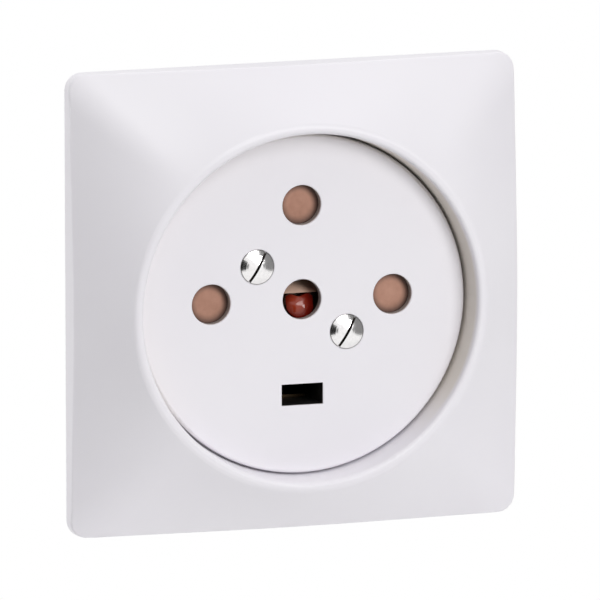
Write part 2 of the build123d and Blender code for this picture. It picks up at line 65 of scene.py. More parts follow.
def add(tree, kind, inputs=None, **settings):
    """Adds a node with its settings. An input takes a value, a socket or another node's first output."""
    node = tree.nodes.new(kind)
    for name, value in settings.items():
        setattr(node, name, value)
    for name, value in (inputs or {}).items():
        if isinstance(value, bpy.types.Node):
            value = value.outputs[0]
        if isinstance(value, bpy.types.NodeSocket):
            tree.links.new(value, node.inputs[name])
        else:
            node.inputs[name].default_value = value
    return node


def new_finish(name):
    """An empty material with its tree, its output's surface and the object coordinates."""
    finish = bpy.data.materials.new(name)
    finish.use_nodes = True
    tree = finish.node_tree
    tree.nodes.clear()
    output = add(tree, "ShaderNodeOutputMaterial")
    place = add(tree, "ShaderNodeTexCoord").outputs["Object"]
    return finish, tree, output.inputs["Surface"], place


def dress(finish, *names):
    """Gives CAD nodes their finish."""
    for name in names:
        cad_nodes[name].data.materials.clear()
        cad_nodes[name].data.materials.append(finish)


black_phenolic, tree, surface, place = new_finish("compression_moulded_phenolic")
clouds = add(tree, "ShaderNodeTexNoise", {
    "Vector": place, "Scale": 1 / 0.009, "Detail": 4.0, "Distortion": 1.2,
})
grains = add(tree, "ShaderNodeTexNoise", {"Vector": place, "Scale": 1 / 0.0004, "Detail": 2.0})
tint = add(tree, "ShaderNodeMix", {0: clouds, 6: linear("#141211"), 7: linear("#211E1C")}, data_type="RGBA")
dull = add(tree, "ShaderNodeMapRange", {"Value": clouds, "To Min": 0.34, "To Max": 0.52})
skin = add(tree, "ShaderNodeBump", {"Height": grains, "Strength": 0.25, "Distance": 0.00003})
shader = add(tree, "ShaderNodeBsdfPrincipled", {
    "Base Color": tint.outputs[2], "Roughness": dull, "IOR": 1.6, "Normal": skin,
})
tree.links.new(shader.outputs[0], surface)
dress(black_phenolic, "rear_housing")


# Contacts: slit sleeves for the four round pins and a fork for the earth pin, with flat tails.
# Half-hard brass strip, rolled and then stamped, so it keeps faint rolling lines and some tarnish.
def new_brass(name, bright, stained):
    """Brass strip that runs from a bright tone to a stained one."""
    finish, tree, surface, place = new_finish(name)
    lengthways = add(tree, "ShaderNodeMapping", {
        "Vector": place, "Scale": (1 / 0.0002, 1 / 0.004, 1 / 0.0002),
    })
    lines = add(tree, "ShaderNodeTexNoise", {"Vector": lengthways, "Scale": 1.0, "Detail": 3.0})
    tarnish = add(tree, "ShaderNodeTexNoise", {"Vector": place, "Scale": 1 / 0.003, "Detail": 5.0})
    stain = add(tree, "ShaderNodeMapRange", {"Value": tarnish, "From Min": 0.45, "From Max": 0.7})
    tint = add(tree, "ShaderNodeMix", {0: stain, 6: linear(bright), 7: linear(stained)}, data_type="RGBA")
    dull = add(tree, "ShaderNodeMapRange", {"Value": lines, "To Min": 0.2, "To Max": 0.4})
    skin = add(tree, "ShaderNodeBump", {"Height": lines, "Strength": 0.15, "Distance": 0.00002})
    shader = add(tree, "ShaderNodeBsdfPrincipled", {
        "Base Color": tint.outputs[2], "Metallic": 1.0, "Roughness": dull, "Normal": skin,
    })
    tree.links.new(shader.outputs[0], surface)
    return finish


rolled_brass = new_brass("rolled_brass", "#D9B45C", "#A9803A")
dress(rolled_brass, "contact_l1", "contact_l2", "contact_l3", "contact_neutral")
# Painted shade: the earth fork takes a nearly black brass, standing in for the dark inside of the slot.
dress(new_brass("brass_in_painted_shade", "#33291C", "#1F1A14"), "earth_contact")


# Grip springs: split rings that keep each sleeve closed on its pin.
# Hardened spring steel strip, blued a little by its tempering.
spring_steel, tree, surface, place = new_finish("tempered_spring_steel")
temper = add(tree, "ShaderNodeTexNoise", {"Vector": place, "Scale": 1 / 0.002, "Detail": 3.0})
tint = add(tree, "ShaderNodeMix", {0: temper, 6: linear("#8E9094"), 7: linear("#A7A39C")}, data_type="RGBA")
dull = add(tree, "ShaderNodeMapRange", {"Value": temper, "To Min": 0.24, "To Max": 0.4})
shader = add(tree, "ShaderNodeBsdfPrincipled", {
    "Base Color": tint.outputs[2], "Metallic": 1.0, "Roughness": dull,
})
tree.links.new(shader.outputs[0], surface)
dress(spring_steel, "grip_spring_l1", "grip_spring_l2", "grip_spring_l3", "grip_spring_neutral")


# Terminals: blocks with a wire hole from the back and a threaded hole from the side.
# Sawn from extruded brass bar, and given the same rolled brass as the contacts.
dress(rolled_brass, "terminal_l1", "terminal_l2", "terminal_l3", "terminal_neutral", "terminal_earth")


# Terminal screws: slotted cheese-head screws that clamp each wire from the side.
# Cold-headed steel with a rolled thread, zinc plated, so bright grey with a faint blue passivation.
def new_geometry_tree(name, sizes):
    """A geometry tree with a named input for each size and one for the finish."""
    tree = bpy.data.node_groups.new(name, "GeometryNodeTree")
    tree.interface.new_socket("Geometry", in_out="INPUT", socket_type="NodeSocketGeometry")
    tree.interface.new_socket("Geometry", in_out="OUTPUT", socket_type="NodeSocketGeometry")
    for size in sizes:
        tree.interface.new_socket(size, in_out="INPUT", socket_type="NodeSocketFloat")
    tree.interface.new_socket("Finish", in_out="INPUT", socket_type="NodeSocketMaterial")
    return tree, add(tree, "NodeGroupInput").outputs


def grow(name, place, facing, turn, tree, values):
    """Runs a tree on one point with a facing and a turn, and returns what it makes as a plain mesh."""
    seat = bpy.data.meshes.new(name)
    seat.from_pydata([place], [], [])
    seat.attributes.new("facing", "FLOAT_VECTOR", "POINT").data.foreach_set("vector", list(facing))
    seat.attributes.new("turn", "FLOAT", "POINT").data.foreach_set("value", [turn])
    piece = bpy.data.objects.new(name, seat)
    bpy.context.scene.collection.objects.link(piece)
    making = piece.modifiers.new(name, "NODES")
    making.node_group = tree
    for item in tree.interface.items_tree:
        if item.name in values:
            making[item.identifier] = values[item.name]
    made = piece.evaluated_get(bpy.context.evaluated_depsgraph_get())
    mesh = bpy.data.meshes.new_from_object(made)
    piece.modifiers.remove(making)
    piece.data = mesh
    return piece


def break_edges(piece, width):
    """Takes the sharpness off a piece's edges, as tumbling and plating do."""
    edge = piece.modifiers.new("broken_edge", "BEVEL")
    edge.width, edge.segments, edge.limit_method, edge.angle_limit = width, 2, "ANGLE", radians(40)


screw_tree, given = new_geometry_tree("slotted_screw", [
    "Head Radius", "Head Height", "Cone Depth", "Dome", "Shank Radius", "Length",
    "Thread Length", "Pitch", "Slot Width", "Slot Depth",
])

# The head starts as a unit cylinder, whose rings the sizes pull into a cone, a rim and a dome.
blank = add(screw_tree, "GeometryNodeMeshCylinder", {
    "Vertices": 56, "Side Segments": 6, "Fill Segments": 7, "Radius": 1.0, "Depth": 1.0,
}, fill_type="TRIANGLE_FAN")
own_place = add(screw_tree, "GeometryNodeInputPosition")
corner = add(screw_tree, "ShaderNodeSeparateXYZ", {0: own_place}).outputs
rise = add(screw_tree, "ShaderNodeMath", {0: corner[2], 1: 0.5}, operation="ADD")
head_depth = add(screw_tree, "ShaderNodeMath", {
    0: given["Head Height"], 1: given["Cone Depth"],
}, operation="ADD")
height = add(screw_tree, "ShaderNodeMath", {0: rise, 1: head_depth}, operation="MULTIPLY")
height = add(screw_tree, "ShaderNodeMath", {0: height, 1: given["Cone Depth"]}, operation="SUBTRACT")
# A cheese head has no cone, so a hair's depth keeps the share of the cone from a division by nothing.
hair = 1e-7
up_cone = add(screw_tree, "ShaderNodeMath", {0: height, 1: given["Cone Depth"]}, operation="ADD")
up_cone = add(screw_tree, "ShaderNodeMath", {0: up_cone, 1: hair}, operation="ADD")
whole_cone = add(screw_tree, "ShaderNodeMath", {0: given["Cone Depth"], 1: hair}, operation="ADD")
flare = add(screw_tree, "ShaderNodeMath", {0: up_cone, 1: whole_cone}, operation="DIVIDE")
flare = add(screw_tree, "ShaderNodeMath", {0: flare, 1: 1.0}, operation="MINIMUM")
neck = add(screw_tree, "ShaderNodeMath", {
    0: given["Shank Radius"], 1: given["Head Radius"],
}, operation="DIVIDE")
spread = add(screw_tree, "ShaderNodeMath", {0: 1.0, 1: neck}, operation="SUBTRACT")
spread = add(screw_tree, "ShaderNodeMath", {0: spread, 1: flare}, operation="MULTIPLY")
widen = add(screw_tree, "ShaderNodeMath", {0: neck, 1: spread}, operation="ADD")
widen = add(screw_tree, "ShaderNodeMath", {0: widen, 1: given["Head Radius"]}, operation="MULTIPLY")
pulled_x = add(screw_tree, "ShaderNodeMath", {0: corner[0], 1: widen}, operation="MULTIPLY")
pulled_y = add(screw_tree, "ShaderNodeMath", {0: corner[1], 1: widen}, operation="MULTIPLY")
# Only the top face is crowned, as a paraboloid that falls to nothing at the rim.
x_square = add(screw_tree, "ShaderNodeMath", {0: corner[0], 1: corner[0]}, operation="MULTIPLY")
y_square = add(screw_tree, "ShaderNodeMath", {0: corner[1], 1: corner[1]}, operation="MULTIPLY")
across = add(screw_tree, "ShaderNodeMath", {0: x_square, 1: y_square}, operation="ADD")
crown = add(screw_tree, "ShaderNodeMath", {0: 1.0, 1: across}, operation="SUBTRACT")
crown = add(screw_tree, "ShaderNodeMath", {0: crown, 1: given["Dome"]}, operation="MULTIPLY")
nearly_top = 0.999
on_top = add(screw_tree, "ShaderNodeMath", {0: rise, 1: nearly_top}, operation="GREATER_THAN")
crown = add(screw_tree, "ShaderNodeMath", {0: crown, 1: on_top}, operation="MULTIPLY")
pulled_z = add(screw_tree, "ShaderNodeMath", {0: height, 1: crown}, operation="ADD")
pulled = add(screw_tree, "ShaderNodeCombineXYZ", {0: pulled_x, 1: pulled_y, 2: pulled_z})
head = add(screw_tree, "GeometryNodeSetPosition", {"Geometry": blank, "Position": pulled})
# The slot is milled straight across the top.
top = add(screw_tree, "ShaderNodeMath", {0: given["Head Height"], 1: given["Dome"]}, operation="ADD")
cutter_length = add(screw_tree, "ShaderNodeMath", {0: given["Head Radius"], 1: 4.0}, operation="MULTIPLY")
cutter_height = add(screw_tree, "ShaderNodeMath", {0: given["Slot Depth"], 1: 2.0}, operation="MULTIPLY")
cutter_size = add(screw_tree, "ShaderNodeCombineXYZ", {
    0: cutter_length, 1: given["Slot Width"], 2: cutter_height,
})
cutter = add(screw_tree, "GeometryNodeMeshCube", {"Size": cutter_size})
cutter_place = add(screw_tree, "ShaderNodeCombineXYZ", {2: top})
cutter = add(screw_tree, "GeometryNodeTransform", {"Geometry": cutter, "Translation": cutter_place})
slotted = add(screw_tree, "GeometryNodeMeshBoolean", {
    0: head, 1: cutter,
}, operation="DIFFERENCE", solver="EXACT")
# The shank is turned down by the thread's depth where the thread runs, and the thread is a coil on it.
depth_of_pitch = 0.55
thread_depth = add(screw_tree, "ShaderNodeMath", {
    0: given["Pitch"], 1: depth_of_pitch,
}, operation="MULTIPLY")
core_radius = add(screw_tree, "ShaderNodeMath", {
    0: given["Shank Radius"], 1: thread_depth,
}, operation="SUBTRACT")
core_top = add(screw_tree, "ShaderNodeMath", {
    0: given["Thread Length"], 1: given["Length"],
}, operation="SUBTRACT")
half_core = add(screw_tree, "ShaderNodeMath", {0: given["Thread Length"], 1: 2.0}, operation="DIVIDE")
core_middle = add(screw_tree, "ShaderNodeMath", {0: core_top, 1: half_core}, operation="SUBTRACT")
core = add(screw_tree, "GeometryNodeMeshCylinder", {
    "Vertices": 40, "Side Segments": 1, "Radius": core_radius, "Depth": given["Thread Length"],
}, fill_type="NGON")
core_place = add(screw_tree, "ShaderNodeCombineXYZ", {2: core_middle})
core = add(screw_tree, "GeometryNodeTransform", {"Geometry": core, "Translation": core_place})
# A screw that is threaded up to its head keeps only a thin disc of plain shank.
plain_length = add(screw_tree, "ShaderNodeMath", {
    0: given["Length"], 1: given["Thread Length"],
}, operation="SUBTRACT")
plain_length = add(screw_tree, "ShaderNodeMath", {
    0: plain_length, 1: given["Cone Depth"],
}, operation="SUBTRACT")
thin_disc = 1e-5
drawn_length = add(screw_tree, "ShaderNodeMath", {0: plain_length, 1: thin_disc}, operation="MAXIMUM")
plain = add(screw_tree, "GeometryNodeMeshCylinder", {
    "Vertices": 40, "Side Segments": 1, "Radius": given["Shank Radius"], "Depth": drawn_length,
}, fill_type="NGON")
plain_middle = add(screw_tree, "ShaderNodeMath", {0: plain_length, 1: -0.5}, operation="MULTIPLY")
plain_middle = add(screw_tree, "ShaderNodeMath", {
    0: plain_middle, 1: given["Cone Depth"],
}, operation="SUBTRACT")
plain_place = add(screw_tree, "ShaderNodeCombineXYZ", {2: plain_middle})
plain = add(screw_tree, "GeometryNodeTransform", {"Geometry": plain, "Translation": plain_place})
coil_length = add(screw_tree, "ShaderNodeMath", {
    0: given["Thread Length"], 1: given["Pitch"],
}, operation="SUBTRACT")
coil_turns = add(screw_tree, "ShaderNodeMath", {0: coil_length, 1: given["Pitch"]}, operation="DIVIDE")
half_pitch = add(screw_tree, "ShaderNodeMath", {0: given["Pitch"], 1: 0.5}, operation="MULTIPLY")
ridge_radius = add(screw_tree, "ShaderNodeMath", {
    0: given["Shank Radius"], 1: half_pitch,
}, operation="SUBTRACT")
coil = add(screw_tree, "GeometryNodeCurveSpiral", {
    "Resolution": 22, "Rotations": coil_turns, "Start Radius": ridge_radius, "End Radius": ridge_radius,
    "Height": coil_length,
})
ridge = add(screw_tree, "GeometryNodeCurvePrimitiveCircle", {"Resolution": 4, "Radius": half_pitch})
thread = add(screw_tree, "GeometryNodeCurveToMesh", {
    "Curve": coil, "Profile Curve": ridge, "Fill Caps": True,
})
thread_start = add(screw_tree, "ShaderNodeMath", {0: half_pitch, 1: given["Length"]}, operation="SUBTRACT")
thread_place = add(screw_tree, "ShaderNodeCombineXYZ", {2: thread_start})
thread = add(screw_tree, "GeometryNodeTransform", {"Geometry": thread, "Translation": thread_place})
screw = add(screw_tree, "GeometryNodeJoinGeometry")
for made in (thread, plain, core, slotted):
    screw_tree.links.new(made.outputs[0], screw.inputs[0])
# The material's lathe marks follow each screw's own axis, so its own place is kept on every point.
turned = add(screw_tree, "GeometryNodeStoreNamedAttribute", {
    "Geometry": screw, "Name": "turned", "Value": own_place,
}, data_type="FLOAT_VECTOR", domain="POINT")
facing = add(screw_tree, "GeometryNodeInputNamedAttribute", {"Name": "facing"}, data_type="FLOAT_VECTOR")
turn = add(screw_tree, "GeometryNodeInputNamedAttribute", {"Name": "turn"}, data_type="FLOAT")
aimed = add(screw_tree, "FunctionNodeAlignRotationToVector", {"Vector": facing}, axis="Z")
spun = add(screw_tree, "FunctionNodeAxisAngleToRotation", {"Axis": (0, 0, 1), "Angle": turn})
stance = add(screw_tree, "FunctionNodeRotateRotation", {
    "Rotation": aimed, "Rotate By": spun,
}, rotation_space="LOCAL")
driven = add(screw_tree, "GeometryNodeInstanceOnPoints", {
    "Points": given["Geometry"], "Instance": turned, "Rotation": stance,
})
real = add(screw_tree, "GeometryNodeRealizeInstances", {0: driven})
plated = add(screw_tree, "GeometryNodeSetMaterial", {"Geometry": real, "Material": given["Finish"]})
add(screw_tree, "NodeGroupOutput", {0: plated})

zinc_plate, tree, surface, place = new_finish("zinc_plated_steel")
spangle = add(tree, "ShaderNodeTexVoronoi", {"Vector": place, "Scale": 1 / 0.0022})
blue = add(tree, "ShaderNodeTexNoise", {"Vector": place, "Scale": 1 / 0.006, "Detail": 3.0})
tint = add(tree, "ShaderNodeMix", {0: blue, 6: linear("#AEB4BC"), 7: linear("#C9C8C0")}, data_type="RGBA")
dull = add(tree, "ShaderNodeMapRange", {"Value": spangle, "To Min": 0.26, "To Max": 0.42})
skin = add(tree, "ShaderNodeBump", {"Height": spangle, "Strength": 0.06, "Distance": 0.00004})
shader = add(tree, "ShaderNodeBsdfPrincipled", {
    "Base Color": tint.outputs[2], "Metallic": 1.0, "Roughness": dull, "Normal": skin,
})
tree.links.new(shader.outputs[0], surface)

# Each clamp's angle is seen from the front, counted from the right, and its slot stands as it was left.
clamp_angles = {"l1": 180, "l2": 90, "l3": 0, "neutral": 45, "earth": -90}
clamp_reach, clamp_depth, clamp_turn = 0.0225, 0.0195, 35
cheese_head = {
    "Head Radius": 0.00275, "Head Height": 0.0016, "Cone Depth": 0.0, "Dome": 0.0, "Shank Radius": 0.00175,
    "Length": 0.0015, "Thread Length": 0.0014, "Pitch": 0.0006, "Slot Width": 0.0008, "Slot Depth": 0.0008,
    "Finish": zinc_plate,
}
cheese_head_edge = 0.0001
for line, angle in clamp_angles.items():
    outwards = Vector((cos(radians(angle)), 0, sin(radians(angle))))
    seat = outwards * clamp_reach + Vector((0, clamp_depth, 0))
    turn = radians(clamp_turn + angle)
    clamp = grow(f"clamping_screw_{line}", seat, outwards, turn, screw_tree, cheese_head)
    break_edges(clamp, cheese_head_edge)
    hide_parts(f"terminal_screw_{line}")
    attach(clamp, "socket")


# Mounting strap: the flat frame between the two housings that the box screws hold on the wall.
# Stamped from steel strip and zinc plated after stamping, so its edges are as bright as its faces.
dress(zinc_plate, "mounting_strap")


# Front housing: carries the shutter, guides the pins and holds the screw inserts.
# The same black thermoset as the rear housing.
dress(black_phenolic, "front_housing")


# Screw inserts: threaded bushes pressed into the front housing for the cover screws.
# Turned brass, left as it comes off the lathe.
dress(rolled_brass, "screw_insert_left", "screw_insert_right")


# Housing screws: two long cheese-head screws that pull the housings together on the strap.
# Zinc-plated steel, with a thread only where they bite in the front housing.
bolt_offset, bolt_seat = 0.014566, 0.024
long_screw = {
    "Head Radius": 0.0028, "Head Height": 0.0018, "Cone Depth": 0.0, "Dome": 0.0, "Shank Radius": 0.0015,
    "Length": 0.024, "Thread Length": 0.008, "Pitch": 0.0005, "Slot Width": 0.0008, "Slot Depth": 0.0009,
    "Finish": zinc_plate,
}
for position, side, turn in (("upper", 1, 75), ("lower", -1, -25)):
    seat = (-bolt_offset * side, bolt_seat, bolt_offset * side)
    bolt = grow(f"long_screw_{position}", seat, (0, 1, 0), radians(turn), screw_tree, long_screw)
    break_edges(bolt, cheese_head_edge)
    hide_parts(f"housing_screw_{position}")
    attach(bolt, "socket")


# Return springs: two compression springs that push the shutter shut.
# Cold-coiled spring wire, with the end coils closed so that they sit flat on the stops.
coil_tree, given = new_geometry_tree("closed_compression_spring", [
    "Coil Radius", "Wire Radius", "Length", "Turns",
])
wire_width = add(coil_tree, "ShaderNodeMath", {0: given["Wire Radius"], 1: 2.0}, operation="MULTIPLY")
wind_length = add(coil_tree, "ShaderNodeMath", {0: given["Length"], 1: wire_width}, operation="SUBTRACT")
wind = add(coil_tree, "GeometryNodeCurveSpiral", {
    "Resolution": 32, "Rotations": given["Turns"], "Start Radius": given["Coil Radius"],
    "End Radius": given["Coil Radius"], "Height": wind_length,
})
# The first and last turns lie nearly flat on their neighbours, and the turns between share the height.
share = add(coil_tree, "GeometryNodeSplineParameter").outputs["Factor"]
end_share = 0.09
opened = add(coil_tree, "ShaderNodeMapRange", {
    "Value": share, "From Min": end_share, "From Max": 1 - end_share,
})
closed_height = add(coil_tree, "ShaderNodeMath", {0: given["Wire Radius"], 1: 6.0}, operation="MULTIPLY")
open_height = add(coil_tree, "ShaderNodeMath", {0: given["Length"], 1: closed_height}, operation="SUBTRACT")
end_height = add(coil_tree, "ShaderNodeMath", {0: given["Wire Radius"], 1: 4.0}, operation="MULTIPLY")
end_rise = add(coil_tree, "ShaderNodeMath", {0: share, 1: end_height}, operation="MULTIPLY")
lift = add(coil_tree, "ShaderNodeMath", {0: opened, 1: open_height, 2: end_rise}, operation="MULTIPLY_ADD")
lift = add(coil_tree, "ShaderNodeMath", {0: lift, 1: given["Wire Radius"]}, operation="ADD")
own_place = add(coil_tree, "GeometryNodeInputPosition")
flat = add(coil_tree, "ShaderNodeSeparateXYZ", {0: own_place}).outputs
lifted = add(coil_tree, "ShaderNodeCombineXYZ", {0: flat[0], 1: flat[1], 2: lift})
wound = add(coil_tree, "GeometryNodeSetPosition", {"Geometry": wind, "Position": lifted})
wire = add(coil_tree, "GeometryNodeCurvePrimitiveCircle", {
    "Resolution": 10, "Radius": given["Wire Radius"],
})
spring = add(coil_tree, "GeometryNodeCurveToMesh", {
    "Curve": wound, "Profile Curve": wire, "Fill Caps": True,
})
placed = add(coil_tree, "GeometryNodeInstanceOnPoints", {"Points": given["Geometry"], "Instance": spring})
real = add(coil_tree, "GeometryNodeRealizeInstances", {0: placed})
blued = add(coil_tree, "GeometryNodeSetMaterial", {"Geometry": real, "Material": given["Finish"]})
smooth = add(coil_tree, "GeometryNodeSetShadeSmooth", {"Geometry": blued, "Shade Smooth": True})
add(coil_tree, "NodeGroupOutput", {0: smooth})

spring_offset, spring_depth = 0.013, -0.004
for side, x in (("left", -spring_offset), ("right", spring_offset)):
    low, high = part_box(f"shutter_spring_{side}")
    foot = (x, spring_depth, low.z)
    fitted_length = high.z - low.z
    spring = grow(f"return_spring_{side}", foot, (0, 0, 1), 0.0, coil_tree, {
        "Coil Radius": 0.0012, "Wire Radius": 0.0002, "Length": fitted_length, "Turns": 9.0,
        "Finish": spring_steel,
    })
    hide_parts(f"shutter_spring_{side}")
    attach(spring, "socket")
    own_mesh(spring)


# Shutter: the slider that closes the round holes until a plug's centre pin pushes it down.
# Injection-moulded in a brown filled polyamide, matt and slightly mottled by its filler.
brown_moulding, tree, surface, place = new_finish("brown_filled_polyamide")
mottle = add(tree, "ShaderNodeTexNoise", {"Vector": place, "Scale": 1 / 0.0009, "Detail": 4.0})
flow = add(tree, "ShaderNodeTexNoise", {
    "Vector": place, "Scale": 1 / 0.006, "Detail": 2.0, "Distortion": 0.6,
})
both = add(tree, "ShaderNodeMath", {0: mottle, 1: 0.5, 2: flow}, operation="MULTIPLY_ADD")
tone = add(tree, "ShaderNodeMapRange", {"Value": both, "From Min": 0.5, "From Max": 1.0})
tint = add(tree, "ShaderNodeMix", {0: tone, 6: linear("#A97A65"), 7: linear("#BE8F7A")}, data_type="RGBA")
# Painted shade: outside a round spot in each hole the brown turns nearly black, standing in for the shadow
# under the cover's edges.
pin_offset, hole_edge = 0.01625, 0.0038
pin_lit_radius, ramp_lit_radius = 0.0019, 0.0034
lit_spots = (
    (-pin_offset, 0.0, pin_lit_radius), (0.0, pin_offset, pin_lit_radius), (pin_offset, 0.0, pin_lit_radius),
    (0.0, 0.001, ramp_lit_radius),
)
flat_place = add(tree, "ShaderNodeVectorMath", {0: place, 1: (1.0, 0.0, 1.0)}, operation="MULTIPLY")
under_cover_shade = 1.0
for x, z, lit_radius in lit_spots:
    off_spot = add(tree, "ShaderNodeVectorMath", {0: flat_place, 1: (x, 0.0, z)}, operation="DISTANCE")
    outside = add(tree, "ShaderNodeMapRange", {
        "Value": off_spot.outputs["Value"], "From Min": lit_radius, "From Max": hole_edge,
    }, interpolation_type="SMOOTHSTEP")
    under_cover_shade = add(tree, "ShaderNodeMath", {0: outside, 1: under_cover_shade}, operation="MULTIPLY")
tint = add(tree, "ShaderNodeMix", {
    0: under_cover_shade, 6: tint.outputs[2], 7: linear("#2E1812"),
}, data_type="RGBA")
# Painted light: above the ramp the brown is mixed well towards a pale tone, standing in for the light that
# falls there.
painted_light_centre, full_light_radius, light_edge_radius, painted_light_share = (-0.0004, 0.0, 0.0012), 0.0014, 0.0034, 0.55
off_painted_light = add(tree, "ShaderNodeVectorMath", {0: flat_place, 1: painted_light_centre}, operation="DISTANCE")
painted_light_over_ramp = add(tree, "ShaderNodeMapRange", {
    "Value": off_painted_light.outputs["Value"], "From Min": full_light_radius, "From Max": light_edge_radius,
    "To Min": painted_light_share, "To Max": 0.0,
}, interpolation_type="SMOOTHSTEP")
tint = add(tree, "ShaderNodeMix", {0: painted_light_over_ramp, 6: tint.outputs[2], 7: linear("#EBCDB8")}, data_type="RGBA")
skin = add(tree, "ShaderNodeBump", {"Height": mottle, "Strength": 0.2, "Distance": 0.00005})
shader = add(tree, "ShaderNodeBsdfPrincipled", {
    "Base Color": tint.outputs[2], "Roughness": 0.62, "IOR": 1.53, "Normal": skin,
})
tree.links.new(shader.outputs[0], surface)
dress(brown_moulding, "shutter")


# Shutter ramp: the wedge in the middle hole that turns the centre pin's push into the slide.
# Injection-moulded acetal in dark red, polished in its mould so that the pin slides on it.
red_moulding, tree, surface, place = new_finish("polished_red_acetal")
depth = add(tree, "ShaderNodeTexNoise", {"Vector": place, "Scale": 1 / 0.0015, "Detail": 3.0})
tint = add(tree, "ShaderNodeMix", {0: depth, 6: linear("#5C120C"), 7: linear("#74180E")}, data_type="RGBA")
# Painted light: the middle of the slope is painted paler than its rim.
ramp_light_centre, crown_top = (-0.0002, -0.0046, -0.0012), (0.0009, -0.0046, -0.0012)
off_ramp_light = add(tree, "ShaderNodeVectorMath", {0: place, 1: ramp_light_centre}, operation="DISTANCE")
ramp_painted_light = add(tree, "ShaderNodeMapRange", {
    "Value": off_ramp_light.outputs["Value"], "From Min": 0.0006, "From Max": 0.0024,
    "To Min": 1.0, "To Max": 0.0,
}, interpolation_type="SMOOTHSTEP")
tint = add(tree, "ShaderNodeMix", {0: ramp_painted_light, 6: tint.outputs[2], 7: linear("#A03A22")}, data_type="RGBA")
# Its slope is crowned, with the top of the crown right of the middle, and has faint sink marks.
crown_radius, sink_depth = 0.0035, 0.0003
off_crown = add(tree, "ShaderNodeVectorMath", {0: place, 1: crown_top}, operation="DISTANCE")
fall = add(tree, "ShaderNodeMath", {0: off_crown.outputs["Value"], 1: 2.0}, operation="POWER")
sink = add(tree, "ShaderNodeTexNoise", {"Vector": place, "Scale": 1 / 0.0016, "Detail": 0.0})
sunk = add(tree, "ShaderNodeMath", {0: sink, 1: sink_depth}, operation="MULTIPLY")
crowned = add(tree, "ShaderNodeMath", {
    0: fall, 1: -1 / (2 * crown_radius), 2: sunk,
}, operation="MULTIPLY_ADD")
skin = add(tree, "ShaderNodeBump", {"Height": crowned, "Strength": 1.0, "Distance": 1.0})
shader = add(tree, "ShaderNodeBsdfPrincipled", {
    "Base Color": tint.outputs[2], "Roughness": 0.12, "IOR": 1.48, "Normal": skin,
})
tree.links.new(shader.outputs[0], surface)
dress(red_moulding, "shutter_ramp")


# Front cover: the round recessed face with the pin holes, the earth slot and the screw seats.
# Injection-moulded urea resin, a cool white gloss with a very fine orange peel from its mould.
white_moulding, tree, surface, place = new_finish("white_urea_moulding")
shade = add(tree, "ShaderNodeTexNoise", {"Vector": place, "Scale": 1 / 0.03, "Detail": 2.0})
peel = add(tree, "ShaderNodeTexNoise", {"Vector": place, "Scale": 1 / 0.0011, "Detail": 2.0})
wave = add(tree, "ShaderNodeTexNoise", {"Vector": place, "Scale": 1 / 0.012, "Detail": 1.0})
tint = add(tree, "ShaderNodeMix", {0: shade, 6: linear("#EDEAF0"), 7: linear("#F3F1F5")}, data_type="RGBA")
# Painted shade: the holes' walls, inside the cover's edge, are darkened more the deeper they go. The
# recess's wall, which lies between the cover and the plate's slope, gets a fainter, warmer painted shade
# that fades out towards the ring's bottom.
ring_middle, cover_edge, wall_foot, wall_crest = (0.0, 0.0, -0.0008), 0.0285, 0.02935, 0.0302
cover_face, hole_bottom, wall_top, wall_shade = -0.00712, -0.0066, -0.0122, -0.0108
unshaded_below, shaded_above = -0.026, -0.014
place_part = add(tree, "ShaderNodeSeparateXYZ", {0: place}).outputs
flat_place = add(tree, "ShaderNodeVectorMath", {0: place, 1: (1.0, 0.0, 1.0)}, operation="MULTIPLY")
off_middle = add(tree, "ShaderNodeVectorMath", {0: flat_place, 1: ring_middle}, operation="DISTANCE")
reach = off_middle.outputs["Value"]
in_cover = add(tree, "ShaderNodeMath", {0: reach, 1: cover_edge}, operation="LESS_THAN")
off_cover = add(tree, "ShaderNodeMath", {0: reach, 1: wall_foot}, operation="GREATER_THAN")
in_recess = add(tree, "ShaderNodeMath", {0: reach, 1: wall_crest}, operation="LESS_THAN")
hole_depth = add(tree, "ShaderNodeMapRange", {
    "Value": place_part[1], "From Min": cover_face, "From Max": hole_bottom,
})
wall_depth = add(tree, "ShaderNodeMapRange", {
    "Value": place_part[1], "From Min": wall_top, "From Max": wall_shade,
})
shade_by_height = add(tree, "ShaderNodeMapRange", {
    "Value": place_part[2], "From Min": unshaded_below, "From Max": shaded_above,
}, interpolation_type="SMOOTHSTEP")
hole_wall_painted_shade = add(tree, "ShaderNodeMath", {0: hole_depth, 1: in_cover}, operation="MULTIPLY")
band = add(tree, "ShaderNodeMath", {0: in_recess, 1: off_cover}, operation="MULTIPLY")
recess_wall_painted_shade = add(tree, "ShaderNodeMath", {0: wall_depth, 1: band}, operation="MULTIPLY")
recess_wall_painted_shade = add(tree, "ShaderNodeMath", {0: recess_wall_painted_shade, 1: shade_by_height}, operation="MULTIPLY")
tint = add(tree, "ShaderNodeMix", {0: hole_wall_painted_shade, 6: tint.outputs[2], 7: linear("#9C9692")}, data_type="RGBA")
tint = add(tree, "ShaderNodeMix", {0: recess_wall_painted_shade, 6: tint.outputs[2], 7: linear("#E0D9D0")}, data_type="RGBA")
dull = add(tree, "ShaderNodeMapRange", {"Value": shade, "To Min": 0.3, "To Max": 0.42})
fine = add(tree, "ShaderNodeBump", {"Height": peel, "Strength": 0.12, "Distance": 0.00002})
skin = add(tree, "ShaderNodeBump", {"Height": wave, "Strength": 0.1, "Distance": 0.0003, "Normal": fine})
shader = add(tree, "ShaderNodeBsdfPrincipled", {
    "Base Color": tint.outputs[2], "Roughness": dull, "IOR": 1.52, "Specular IOR Level": 0.35,
    "Normal": skin,
})
tree.links.new(shader.outputs[0], surface)
dress(white_moulding, "front_cover")


# Cover plate: the square pillow-shaped plate that rises to the round rim round the cover.
# The same white moulding, held by the front cover, which presses on its inner ledge.
dress(white_moulding, "cover_plate")


